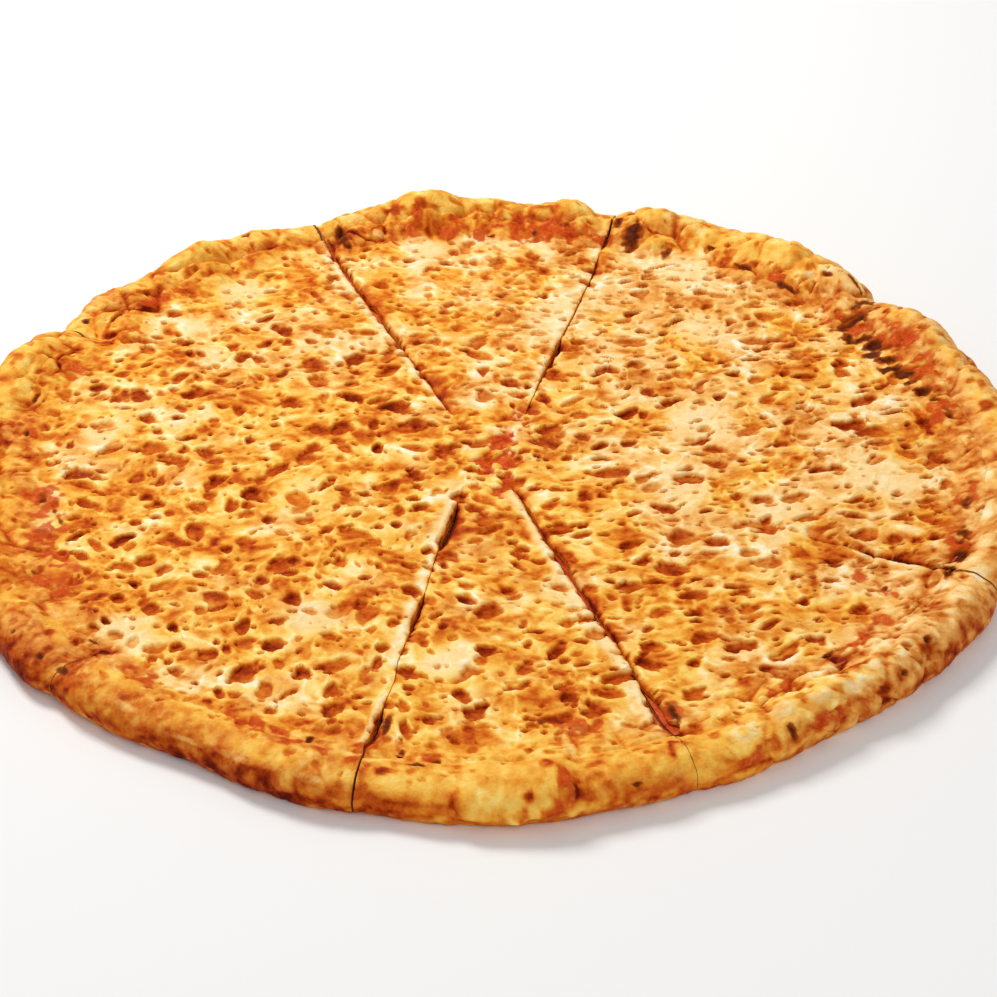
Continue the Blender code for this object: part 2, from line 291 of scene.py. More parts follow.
class Wedge:  # where one slice lies between its two cuts
    def __init__(self, number):
        self.number = number
        self.first, self.second = cuts[number], dict(cuts[(number + 1) % len(cuts)])
        if number + 1 == len(cuts):
            self.second["angle"] += 360.0
        self.halfAngle = 0.5 * math.radians(self.second["angle"] - self.first["angle"])
        self.tipRadius = 0.5 * pizza["cutGap"] / math.sin(self.halfAngle) + pizza["tipClearance"]

    def sheetPlace(self, flat):  # share along the slice and place across it, from the flat triangle
        along = flat[:, 0]
        turn = np.arctan2(flat[:, 1], np.maximum(along, 1e-9))
        return along, np.clip(0.5 + 0.5 * turn / self.halfAngle, 0.0, 1.0)

    def angles(self, radius, across, gaps):
        low = wobblyCut(self.first, radius) + np.arcsin(np.minimum(0.95, gaps[0] / radius))
        high = wobblyCut(self.second, radius) - np.arcsin(np.minimum(0.95, gaps[1] / radius))
        return low + (high - low) * across


def alongCut(stretches, share):  # the largest value, in metres, of the stretches that reach here
    best = np.zeros_like(share)
    for begin, end, size in stretches:
        window = smooth(begin - 0.03, begin + 0.03, share) * (1.0 - smooth(end - 0.03, end + 0.03, share))
        best = np.maximum(best, 0.001 * size * window)
    return best


# Shader maths written as plain sums

class Wire:  # a socket, or a value made from sockets, that can be added, multiplied and so on
    def __init__(self, recipe, socket):
        self.recipe = recipe
        self.socket = socket

    def math(self, operation, first, second):
        return self.recipe.node("ShaderNodeMath", {"operation": operation}, {0: first, 1: second})

    def __add__(self, other):
        return self.math("ADD", self, other)

    def __sub__(self, other):
        return self.math("SUBTRACT", self, other)

    def __rsub__(self, other):
        return self.math("SUBTRACT", other, self)

    def __mul__(self, other):
        return self.math("MULTIPLY", self, other)

    __radd__ = __add__
    __rmul__ = __mul__


class Recipe:  # one material and its nodes
    def __init__(self, name, **fixed):
        self.material = bpy.data.materials.new(name)
        self.material.use_nodes = True
        self.tree = self.material.node_tree
        self.shader = self.tree.nodes["Principled BSDF"]
        for socket, value in fixed.items():
            self.shader.inputs[socket.replace("_", " ")].default_value = value

    def node(self, kind, settings=None, values=None, output=0):
        made = self.tree.nodes.new(kind)
        for key, value in (settings or {}).items():
            if key == "stops":
                self.setStops(made.color_ramp, value)
            else:
                setattr(made, key, value)
        for socket, value in (values or {}).items():
            self.feed(made.inputs[socket], value)
        return Wire(self, made.outputs[output])

    def setStops(self, ramp, stops):
        while len(ramp.elements) > 1:
            ramp.elements.remove(ramp.elements[-1])
        for index, (place, color) in enumerate(stops):
            stop = ramp.elements[0] if index == 0 else ramp.elements.new(place)
            stop.position = place
            stop.color = (*color, 1.0)

    def feed(self, socket, value):
        if isinstance(value, Wire):
            self.tree.links.new(value.socket, socket)
        else:
            socket.default_value = value

    def place(self):
        return self.node("ShaderNodeTexCoord", output="Object")

    def value(self, name):
        return self.node("ShaderNodeAttribute", {"attribute_name": name}, output="Fac")

    def noise(self, size, detail=2.0, stretch=(1, 1, 1)):
        placed = self.node("ShaderNodeMapping", {}, {"Vector": self.place(), "Scale": stretch})
        values = {"Vector": placed, "Scale": 1.0 / size, "Detail": detail, "Roughness": 0.55}
        return self.node("ShaderNodeTexNoise", {}, values, output="Fac")

    def ramp(self, value, stops):
        return self.node("ShaderNodeValToRGB", {"stops": stops}, {"Fac": value}, output="Color")

    def mix(self, share, first, second, blend="MIX"):
        values = {0: share, 6: first, 7: second}
        return self.node("ShaderNodeMix", {"data_type": "RGBA", "blend_type": blend}, values, output=2)

    def between(self, value, low, high):  # eases from 0 at low to 1 at high
        values = {"Value": value, "From Min": low, "From Max": high}
        return self.node("ShaderNodeMapRange", {"interpolation_type": "SMOOTHSTEP"}, values)

    def bump(self, height, distance, strength=1.0):
        values = {"Height": height, "Distance": distance, "Strength": strength}
        self.feed(self.shader.inputs["Normal"], self.node("ShaderNodeBump", {}, values))

    def paint(self, color, roughness):
        self.feed(self.shader.inputs["Base Color"], color)
        self.feed(self.shader.inputs["Roughness"], roughness)


def linear(red, green, blue):  # a colour as seen on a screen, 0 to 255, for a shader's socket
    curve = lambda value: value / 12.92 if value <= 0.04045 else ((value + 0.055) / 1.055) ** 2.4
    return tuple(curve(value / 255.0) for value in (red, green, blue))


def colorStops(*rows):  # each row is a place, then red, green and blue
    return [(place, linear(*color)) for place, *color in rows]


# Baked cheese and dough from white to burnt, once yellow and once milky, and tomato sauce
goldenStops = colorStops(
    (0.00, 255, 240, 190), (0.14, 254, 226, 140), (0.28, 252, 209, 106),
    (0.40, 247, 189, 80), (0.52, 238, 162, 56), (0.66, 218, 120, 30),
    (0.79, 194, 80, 14), (0.90, 152, 46, 2), (1.00, 104, 22, 0),
)
milkyStops = colorStops(
    (0.00, 255, 241, 218), (0.14, 254, 228, 174), (0.28, 251, 211, 143),
    (0.40, 246, 193, 115), (0.52, 235, 167, 86), (0.66, 212, 128, 50),
    (0.79, 184, 78, 16), (0.90, 144, 44, 4), (1.00, 96, 20, 0),
)
sauceStops = colorStops(
    (0.26, 146, 34, 4), (0.44, 192, 62, 14), (0.60, 216, 94, 32), (0.76, 236, 146, 74),
)
crumbStops = colorStops((0.3, 130, 58, 12), (0.6, 206, 134, 60))
toastColor, burntColor = linear(160, 70, 14), linear(66, 16, 2)


def bakedColor(recipe, fineShare):  # from the tone, milky, red and burnt values painted on the mesh
    tone, milky, red, burnt = (recipe.value(name) for name in ("tone", "milky", "red", "burnt"))
    middling, fine = recipe.noise(0.0036, 3.0), recipe.noise(0.0011, 2.0)
    speckle = (middling - 0.5) * 0.6 + (fine - 0.5) * 0.4
    shade = tone + speckle * fineShare
    milkiness = recipe.between(milky + (middling - 0.5) * 0.8, 0.15, 0.85)
    base = recipe.mix(milkiness, recipe.ramp(shade, goldenStops), recipe.ramp(shade, milkyStops))
    redShare = recipe.between(red + speckle * 0.5, 0.15, 0.95)
    sauced = recipe.mix(redShare, base, recipe.ramp(0.5 + speckle * 1.1, sauceStops))
    char = burnt + speckle * 0.6
    toasted = recipe.mix(recipe.between(char, 0.12, 0.50), sauced, (*toastColor, 1))
    return recipe.mix(recipe.between(char, 0.40, 0.95), toasted, (*burntColor, 1)), middling, fine


def cheeseFinish():
    recipe = Recipe("meltedCheese", Coat_Roughness=0.28, IOR=1.42, Specular_IOR_Level=0.04)
    color, middling, fine = bakedColor(recipe, 0.46)
    recipe.paint(color, 0.45 + fine * 0.22)
    recipe.feed(recipe.shader.inputs["Coat Weight"], recipe.between(recipe.value("tone"), 0.55, 0.2) * 0.22)
    recipe.bump(middling * 0.6 + fine * 0.4, 0.0010, 0.55)
    return recipe.material


def crustFinish():
    recipe = Recipe("bakedRim", IOR=1.4, Specular_IOR_Level=0.08)
    color, middling, fine = bakedColor(recipe, 0.40)
    recipe.paint(color, 0.5 + fine * 0.28)
    recipe.bump(middling * 0.7 + fine * 0.3, 0.0011, 0.75)
    return recipe.material


def crumbFinish():  # the cut dough
    recipe = Recipe("cutDough", Roughness=0.85)
    holes, fine = recipe.noise(0.0022, 2.0), recipe.noise(0.0008, 2.0)
    tone = holes * 0.6 + fine * 0.4
    recipe.paint(recipe.ramp(tone, crumbStops), 0.8 + fine * 0.1)
    recipe.bump(tone, 0.0006, 0.8)
    return recipe.material


def sauceFinish():
    recipe = Recipe("tomatoSauce", Coat_Weight=0.1, Coat_Roughness=0.25, Specular_IOR_Level=0.2)
    middling, fine = recipe.noise(0.0040, 3.0), recipe.noise(0.0010, 2.0)
    tone = middling * 0.65 + fine * 0.35
    color = recipe.ramp(tone, sauceStops)
    recipe.paint(color, 0.3 + fine * 0.3)
    recipe.bump(tone, 0.0006, 0.7)
    return recipe.material


# The rim's lumps, creases and marks, alike on the dough's skin and on the cheese that runs up it

rim = {
    "lumps": {"spacing": 0.0135, "rise": 0.0017, "seed": 5},
    "beads": {"spacing": 0.0060, "rise": 0.0008, "seed": 6},
    "flecks": {"spacing": 0.0062, "radius": (0.0007, 0.0019), "keep": 0.72, "back": 1.0, "seed": 12},
    "creaseDepth": 0.0010,
    "fleckDepth": 0.0006,
    "creamRise": 0.0005,
    "burntDepth": 0.0008,
    # Where it is lumpier or smoother, stringy with cheese, or paler: middle and spread in degrees, how much
    "busy": [(308.0, 15.0, 0.55), (255.0, 6.0, 0.15), (119.5, 5.5, -0.50)],
    "curly": [(312.0, 16.0, 1.0)],
    "paleWall": [(316.0, 20.0, 1.0)],
    "dents": (0.030, 0.0007),  # size and depth
    "wrinkles": (0.0050, 0.00028),
    "tongue": (272.4, 5.4, 0.0021),  # cheese run over the rim: middle and spread in degrees, thickness
    "burntEdge": (0.14, 0.92),  # how soon the outline of a mark fades
    "markEdge": (0.22, 0.74),
    # How baked it looks, from 0 for white to 1 for burnt
    "tones": {"plain": 0.565, "yellow": 0.40, "red": 0.76, "cream": 0.17, "fleck": 0.80},
}

# Marks: direction in degrees, millimetres outwards from the crest along the skin, half length, half width
rimMarks = {
    "burnt": [
        (30, -16, 2.6, 5.5), (28, -18, 2.8, 4), (26, -19.5, 2.2, 5), (24, -18, 3.2, 3.5),
        (21.8, -19.5, 2.2, 4.6), (19.8, -18, 3.2, 3.2), (17.5, -17.5, 2.2, 3.8), (15.3, -16, 2.4, 2.6),
        (13, -14, 2, 2), (110.5, -12, 2.0, 7), (70.5, -12, 3.4, 6), (65, -17, 2.4, 3),
        (73, -3, 1.6, 3.5), (59.5, -8, 2.2, 1.2), (43, -2, 2.6, 1.2), (40, 3, 5, 0.8),
        (34, -12, 2.6, 8), (36.5, 2, 2, 5), (31, -21, 5, 2.4), (300.5, 7.0, 1.3, 2.2),
        (328.5, -24, 2.0, 1.0), (321, 3, 1.2, 1.0), (325.5, -5, 1.1, 0.9), (315.5, 7.5, 1.2, 0.7),
        (318, 2, 1.0, 0.8), (222.5, 4, 2.0, 1.2), (219.5, 3.5, 1.3, 1.0), (214.5, 5, 1.6, 0.8),
        (260.5, -10, 1.2, 1.8), (262.5, -4.2, 2.2, 0.9), (264.5, -7, 1.4, 0.8), (283.5, 7.5, 1.1, 0.6),
        (312, -16, 3, 0.8), (276, -25, 2.6, 1.6), (122.5, 2.0, 2.0, 1.2), (291, -17, 1.1, 5),
        (258, -24, 1.2, 5), (9, -12, 4, 1.4), (46, -14, 6, 1.2), (148.5, 1.5, 1.6, 1.0),
        (144, -9.2, 2.6, 0.8), (167, -10, 3, 0.9), (175, -12, 2, 0.8), (190.5, -21, 2.4, 1.1),
        (193.5, -24, 1.8, 1.0), (196, -25, 2, 0.9), (205, -11, 1.8, 1.2), (220, -12, 5, 0.6),
        (349, -12, 4, 1.6), (343, -11, 5, 2.4), (338, -9, 4, 2.0), (335.5, -8, 8, 1.0),
        (310, -3, 2, 1.0), (105, -6, 2, 0.8), (251, -8, 1.0, 2.4), (90, -16, 2, 0.9),
        (84, -15, 1.2, 2.4), (53, -13, 5, 1.2),
    ],
    "red": [
        (190.5, -21, 12, 6), (200, -21, 14, 6), (207, -16, 10, 7), (80, -14, 14, 7), (88, -14, 14, 7),
        (102, -13, 7, 7), (96, -11, 6, 4), (24.5, -10, 14, 5), (279, -19, 8, 6), (276.6, 8, 2.0, 6),
        (301, -23, 6, 0.8), (291, -22, 4.0, 8), (257, -6, 3, 12), (304, -11, 6, 4), (50, -12, 16, 3),
        (146.5, -20, 6, 6), (140, -10, 5, 3), (272.5, 11, 3, 2.5), (275.5, 10, 2.5, 3),
        (249, -3, 14, 2), (38, -14, 6, 5), (160, -16, 10, 3), (10, -14, 9, 4), (318, -13, 7, 3),
        (329.5, -34, 5, 3), (331.5, -40, 4, 2), (328, -22, 6, 4), (322, -14, 5, 4), (229, -9, 10, 3),
        (124, -12, 7, 3), (31, -12, 8, 5), (18, -12, 10, 5), (342, -12, 9, 5), (351, -13, 8, 4),
        (306, 9, 8, 2), (297, 8, 8, 2.5), (264, -8, 3, 2), (243, -8, 12, 2), (172, -13, 9, 3),
    ],
    "yellow": [
        (30, -1, 12, 4), (22, 0, 14, 4), (98, -2, 14, 4), (70.5, -1, 10, 4), (66, -13, 8, 5),
        (59, -4, 9, 4), (52, -5, 10, 4), (47, -2, 8, 3.5), (130, -2, 12, 5), (292, -4, 9, 6),
        (290.5, 6, 7, 7), (272, -4, 13, 16), (12, 0, 14, 4), (140, -2, 8, 4), (84, -1, 20, 4),
        (240, -6, 14, 5), (285, -2, 10, 8), (160.5, 2, 9, 4), (170, -2, 12, 4), (181, -7, 10, 4),
        (189, -9, 8, 4), (210.5, -1, 7, 3.5), (217, -6, 8, 4), (261, 3, 9, 4), (113, -2, 8, 3.5),
        (120, -1, 6, 3), (118, -11, 9, 5), (127, -10, 7, 4), (150, -3, 8, 4), (5, 0, 10, 4),
        (228, -3, 9, 4), (248, 3, 12, 3),
    ],
    "cream": [
        (296, 0.5, 6, 4), (301, 0, 4, 3), (305.5, 1.5, 3.5, 2.2), (309.5, 4, 3.5, 2.2),
        (313, 1, 2.6, 2), (316.5, -4, 4, 3), (322, -6, 5, 4), (319, -1, 3, 2), (331, -7, 5, 3),
        (330, 0, 6, 3), (335, 1, 5, 3), (309, -10, 7, 2), (312, -26, 7, 3), (321.5, -26, 8, 2.5),
        (300, -20, 7, 2), (60.5, -12, 5, 3), (105.5, -12, 3, 1.6), (101, -27, 4, 2), (74, -23, 3, 2),
        (275.5, -19, 5, 3), (278, -10, 1.6, 5), (293.5, -22, 3, 4), (185, -20, 5, 2.5),
        (204, -29, 5, 3), (219.5, -16, 4, 2), (225.5, -20, 6, 3), (232, 4.5, 3, 0.8),
        (239.5, 8, 5, 0.8), (245, 7, 5, 0.7), (253, 6.5, 5, 0.8), (347, -5, 6, 2.5), (341, -3, 5, 2.4),
        (337, -4, 4, 2.4), (355, -6, 5, 2), (41, -8, 3, 2.4), (44.5, -6, 2.5, 2),
    ],
}


def lumpField(x, y, lumps):  # lumps that touch: how high, and how near the crease between two
    random, spacing = np.random.default_rng(lumps["seed"]), lumps["spacing"]
    shifts, growth = random.uniform(0.1, 0.9, (2, 128, 128)), random.uniform(0.70, 1.30, (128, 128))
    column, row = np.floor(x / spacing).astype(int), np.floor(y / spacing).astype(int)
    nearest, second = np.full_like(x, 9.0), np.full_like(x, 9.0)
    for dx in (-1, 0, 1):
        for dy in (-1, 0, 1):
            key = ((column + dx) % 128, (row + dy) % 128)
            offX = x / spacing - column - dx - shifts[0][key]
            offY = y / spacing - row - dy - shifts[1][key]
            away = np.hypot(offX, offY) / growth[key]
            second = np.minimum(second, np.maximum(away, nearest))
            nearest = np.minimum(nearest, away)
    return np.clip(1.0 - 1.5 * nearest ** 2, 0.0, 1.0), 1.0 - smooth(0.0, 0.16, second - nearest)


def markField(kind, angle, past, ragged):
    best = np.zeros_like(angle)
    for direction, outwards, halfLength, halfWidth in rimMarks[kind]:
        along = np.radians(turnTo(angle, direction)) * crestPath / (0.001 * halfLength)
        over = (past - 0.001 * outwards) / (0.001 * halfWidth)
        best = np.maximum(best, np.exp(-(along ** 2 + over ** 2) * 0.7))
    low, high = rim["burntEdge"] if kind == "burnt" else rim["markEdge"]
    return smooth(low, high, best + 0.62 * ragged * smooth(0.02, 0.3, best))


class RimSkin:  # shape and colour of the rim at a direction and a way along the skin from the middle
    def __init__(self, angle, path):
        tones = rim["tones"]
        across, along = path * np.cos(angle), path * np.sin(angle)
        past = path - crestPath
        self.far = smooth(-0.35, 0.6, np.sin(angle))
        left, east = smooth(0.3, 0.9, -np.cos(angle)), smooth(0.2, 0.8, np.cos(angle))
        inside = 1.0 - smooth(-0.012, 0.001, past)
        warpX, warpY = (0.0030 * softNoise(across, along, 0.010, seed) for seed in (41, 42))
        lump, crease = lumpField(across + warpX, along + warpY, rim["lumps"])
        bead, beadCrease = lumpField(across + warpX, along + warpY, rim["beads"])
        busy = 0.16 + 0.84 * np.maximum(self.far, inside * 0.6) + swellSum(angle, rim["busy"])
        busy = np.clip(busy, 0.0, 1.0)
        creased = busy * (1.0 - 0.8 * smooth(0.003, 0.010, past) * self.far)
        ragged = roughNoise(across, along, 0.0042, 43)
        mottle = roughNoise(across + 0.3 * warpX, along, 0.0025, 40, 2)
        broad = softNoise(across, along, 0.030, 44)
        self.crease = crease * creased * smooth(-0.5, 0.1, roughNoise(across, along, 0.012, 45))
        beadCrease = beadCrease * creased * smooth(-0.2, 0.4, roughNoise(across, along, 0.014, 49))
        # Flecks and pale strands carry on over the crest, as far as cheese has run
        runOver = 1.0 - smooth(-0.001, 0.008, past + 0.005 * ragged - 0.003 * broad)
        flecks, _, shaded = pitField(across + warpX, along + warpY, rim["flecks"])
        flecks = flecks * runOver
        curly = swellSum(angle, rim["curly"]) * (1.0 - smooth(0.004, 0.009, past + 0.003 * ragged))
        threads = roughNoise(across + warpX, along, 0.0064, 39)
        strand = np.exp(-(threads / 0.14) ** 2) * np.maximum(runOver, curly)
        self.relief = rim["lumps"]["rise"] * busy * (lump - 0.45)
        self.relief = self.relief + rim["beads"]["rise"] * busy * (bead - 0.4)
        self.relief += rim["dents"][1] * softNoise(across, along, rim["dents"][0], 46)
        self.relief += rim["wrinkles"][1] * (roughNoise(across, along, rim["wrinkles"][0], 47) + 0.6 * mottle)
        lowered = rim["creaseDepth"] * (self.crease + 0.4 * beadCrease) + rim["fleckDepth"] * flecks
        self.relief -= lowered - (0.0002 + 0.0004 * curly) * strand
        direction, spread, rise = rim["tongue"]
        sideways = np.abs((turnTo(angle, direction) + 0.5 * ragged) / spread)
        tongue = np.exp(-sideways ** 8) * (1.0 - smooth(0.011, 0.016, past + 0.003 * ragged))
        tongue = tongue * smooth(-0.016, -0.006, past)
        self.relief += rise * tongue
        # A line along both edges of the tongue is painted darker: painted shade
        tongueEdgeShade = np.exp(-((sideways - 1.07) / 0.07) ** 2) * smooth(-0.014, -0.006, past)
        tongueEdgeShade = tongueEdgeShade * (1.0 - smooth(0.010, 0.016, past))
        marks = {kind: markField(kind, angle, past, 0.6 * ragged + 0.6 * mottle) for kind in rimMarks}
        yellow = np.maximum(marks["yellow"], tongue)
        raised = rim["creamRise"] * marks["cream"] * (1.0 - smooth(0.002, 0.005, past)) * (1.0 - self.far)
        self.relief += raised - rim["burntDepth"] * marks["burnt"]
        streaks = roughNoise(angle * crestPath, path * 0.22, 0.0024, 38, 2) * self.far * inside
        farTone = 0.14 * inside - 0.12 * (1.0 - inside)
        tone = tones["plain"] + self.far * farTone + 0.05 * left + 0.12 * broad
        grained = (0.22 + 0.14 * curly) * ragged + 0.15 * mottle + 0.22 * streaks
        tone += grained - (0.13 + 0.16 * curly) * strand * (1.0 - flecks)
        # Creases are painted darker, as painted shade, and the tops of lumps are made paler
        tone += 0.30 * self.crease + 0.16 * beadCrease - 0.12 * (lump - 0.5) * busy
        tone += (0.18 * smooth(0.004, 0.010, past) - 0.14 * smooth(0.018, 0.022, past)) * (1.0 - self.far)
        holes = smooth(0.35, 0.7, softNoise(across, along, 0.0042, 48))
        tone += (tones["yellow"] + 0.20 * ragged + 0.12 * mottle + 0.40 * holes - tone) * yellow * 0.8
        tone += (tones["red"] + 0.15 * ragged - tone) * marks["red"] * 0.55
        creamWeight = (0.8 - 0.45 * smooth(0.003, 0.005, past)) * (1.0 - 0.3 * self.far)
        tone += (tones["cream"] + 0.28 * ragged + 0.22 * mottle - tone) * marks["cream"] * creamWeight
        # Flecks are painted darker on their upper left side: painted shade
        tone += (tones["fleck"] + 0.10 * shaded + 0.10 * ragged - tone) * flecks ** 0.7 * 0.85
        # painted shade along the tongue's edges
        tone += 0.20 * tongueEdgeShade * smooth(-0.6, 0.3, mottle)
        self.tone = tone
        self.milky = 0.30 + 0.45 * marks["cream"] + 0.30 * east + 0.35 * broad - 0.35 * yellow
        self.milky += 0.35 * swellSum(angle, rim["paleWall"]) * smooth(0.0, 0.006, past)
        patchy = smooth(-0.5, 0.2, mottle + ragged + 1.4 * streaks)
        self.red = marks["red"] * (1.0 - 0.8 * marks["cream"]) * patchy * 0.80
        # Creases at the back are painted further towards burnt: painted shade
        creaseShade = self.crease * self.far * smooth(-0.2, 0.5, broad)
        self.burnt = np.clip(0.80 * marks["burnt"] * (1.0 - 0.5 * marks["cream"]) + 0.2 * creaseShade, 0.0, 1.0)


# The dough

dough = {
    "cell": 0.00072,
    "wallPath": 0.0240,  # length of the skin from the crest over the outside to the table
    "underTone": 0.70,
}


def wallShape(path):
    # From the crest (0) to the foot (1): shares of the radius and of the crest's height, then the way out
    upper = np.clip(path * 2.0, 0.0, 1.0) * 0.5 * math.pi
    lower = np.clip(path * 2.0 - 1.0, 0.0, 1.0) * 0.5 * math.pi
    under = path > 0.5
    belly, crest, foot = pizza["wallBelly"], pizza["rimCrest"], pizza["wallFoot"]
    share = np.where(under, foot + (1.0 - foot) * np.cos(lower), crest + (1.0 - crest) * np.sin(upper))
    rise = np.where(under, belly - belly * np.sin(lower), belly + (1.0 - belly) * np.cos(upper))
    outward = np.where(under, np.cos(lower), np.sin(upper))
    upward = np.where(under, -np.sin(lower), np.cos(upper))
    return share, rise, outward, upward


def cheeseEnd(angle):  # the share of the radius where the cheese stops
    x, y = pizza["radius"] * np.cos(angle), pizza["radius"] * np.sin(angle)
    wander = cheese["wander"] * (softNoise(x, y, 0.022, 61) + 0.6 * softNoise(x, y, 0.008, 62))
    return np.maximum(cheese["end"] + swellSum(angle, cheese["dips"]) + wander, sauceEnd(angle) + 0.015)


def rimGap(cut, share):  # half the gap in the dough, narrower through the rim
    half = 0.5 * pizza["cutGap"]
    return half + (0.001 * cut["rimGap"] - half) * smooth(0.86, 0.93, share)


def buildCrust(wedge, skin, crumb):
    length = crestPath + dough["wallPath"]
    rows = round(length / dough["cell"])
    columns = round(2.0 * wedge.halfAngle * pizza["radius"] / dough["cell"])
    piece = wedgeBlock(f"dough_{wedge.number + 1}", rows, columns, wedge.halfAngle)
    flat = readPlaces(piece)
    top = flat[:, 2] > 0.5
    along, across = wedge.sheetPlace(flat)
    path = along * length
    share, rise, outward, upward = wallShape(np.clip((path - crestPath) / dough["wallPath"], 0.0, 1.0))
    onWall = path > crestPath
    share = np.where(onWall, share, np.maximum(path, wedge.tipRadius) / pizza["radius"])
    bottomShare = np.maximum(along * pizza["wallFoot"], wedge.tipRadius / pizza["radius"])
    share = np.where(top, share, bottomShare)
    radius = share * pizza["radius"]
    gaps = [rimGap(cut, share) for cut in (wedge.first, wedge.second)]
    angle = wedge.angles(radius, across, gaps)
    height = np.where(onWall, crestHeight(angle) * rise, slopeHeight(share, angle))
    reach = radius + edgeShift(share, angle)
    # Relief is pushed out of the skin, past the cheese and above the foot
    surface = RimSkin(angle, path)
    end = cheeseEnd(angle)
    footFade = 1.0 - smooth(0.86, 1.0, (path - crestPath) / dough["wallPath"])
    relief = surface.relief * smooth(end - 0.030, end - 0.004, share) * footFade * top
    reach += relief * np.where(onWall, outward, 0.0)
    height = np.where(top, np.maximum(height + relief * np.where(onWall, upward, 1.0), 0.0), 0.0)
    places = np.stack([middle[0] + reach * np.cos(angle), middle[1] + reach * np.sin(angle), height], axis=1)
    writePlaces(piece, places)
    below = dough["underTone"] + 0.12 * roughNoise(reach * np.cos(angle), reach * np.sin(angle), 0.012, 33)
    addValues(piece, "tone", np.where(top, surface.tone, below))
    addValues(piece, "milky", surface.milky)
    addValues(piece, "red", surface.red * top)
    addValues(piece, "burnt", surface.burnt * top)
    dissolveBelow(piece, 0.0)
    finishCrust(piece, wedge, skin, crumb)
    return piece


def finishCrust(piece, wedge, skin, crumb):
    piece.data.materials.clear()
    piece.data.materials.append(skin)
    piece.data.materials.append(crumb)
    normals, centres = readFaces(piece)
    fromMiddle = centres[:, :2] - np.array(middle)
    distance = np.maximum(np.linalg.norm(fromMiddle, axis=1), 1e-6)
    sideways = np.abs(normals[:, 0] * fromMiddle[:, 1] - normals[:, 1] * fromMiddle[:, 0]) / distance
    cutFace = (sideways > 0.9) & (np.abs(normals[:, 2]) < 0.3)
    piece.data.polygons.foreach_set("material_index", cutFace.astype(np.int32))
    shadeAndPlace(piece, wedge, "crust")


def shadeAndPlace(piece, wedge, layer):
    pickOnly(piece)
    bpy.ops.object.shade_smooth_by_angle(angle=math.radians(pizza["smoothDegrees"]))
    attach(piece, "root")
    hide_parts(f"slice_{wedge.number + 1}_{layer}")


# The sauce

sauce = {
    "cell": 0.0015,
    "end": 0.892,
    "wander": 0.006,
    "edgeDepth": 0.0002,
    "ripple": (0.005, 0.0002),
}


def sauceEnd(angle):
    x, y = pizza["radius"] * np.cos(angle), pizza["radius"] * np.sin(angle)
    return sauce["end"] + sauce["wander"] * softNoise(x, y, 0.014, 51)


def sauceDepth(share):
    ease = np.clip((share - pizza["rimFoot"]) / (sauce["end"] - pizza["rimFoot"]), 0.0, 1.0)
    return pizza["sauceDepth"] + (sauce["edgeDepth"] - pizza["sauceDepth"]) * ease ** 2


def sauceFloor(share, angle):
    return slopeHeight(share, angle) + pizza["layerGap"]


def buildSauce(wedge, finish):
    length = pizza["radius"] * sauce["end"]
    rows = round(length / sauce["cell"])
    columns = round(2.0 * wedge.halfAngle * length / sauce["cell"])
    piece = wedgeBlock(f"sauce_{wedge.number + 1}", rows, columns, wedge.halfAngle)
    flat = readPlaces(piece)
    top = flat[:, 2] > 0.5
    along, across = wedge.sheetPlace(flat)
    radius = np.maximum(along * length, wedge.tipRadius)
    half = 0.5 * pizza["cutGap"]
    angle = wedge.angles(radius, across, (half, half))
    share = along * (sauce["end"] + (sauceEnd(angle) - sauce["end"]) * smooth(0.7, 1.0, along))
    share = np.maximum(share, wedge.tipRadius / pizza["radius"])
    reach = share * pizza["radius"] + edgeShift(share, angle)
    x, y = reach * np.cos(angle), reach * np.sin(angle)
    size, depth = sauce["ripple"]
    lift = sauceDepth(share) + depth * (roughNoise(x, y, size, 55) - 1.0)
    floor = sauceFloor(share, angle)
    height = np.where(top, floor + lift, floor)
    writePlaces(piece, np.stack([middle[0] + x, middle[1] + y, height], axis=1))
    dissolveBelow(piece, pizza["doughDepth"] + pizza["layerGap"])
    piece.data.materials.append(finish)
    shadeAndPlace(piece, wedge, "sauce")
    return piece


# The cheese

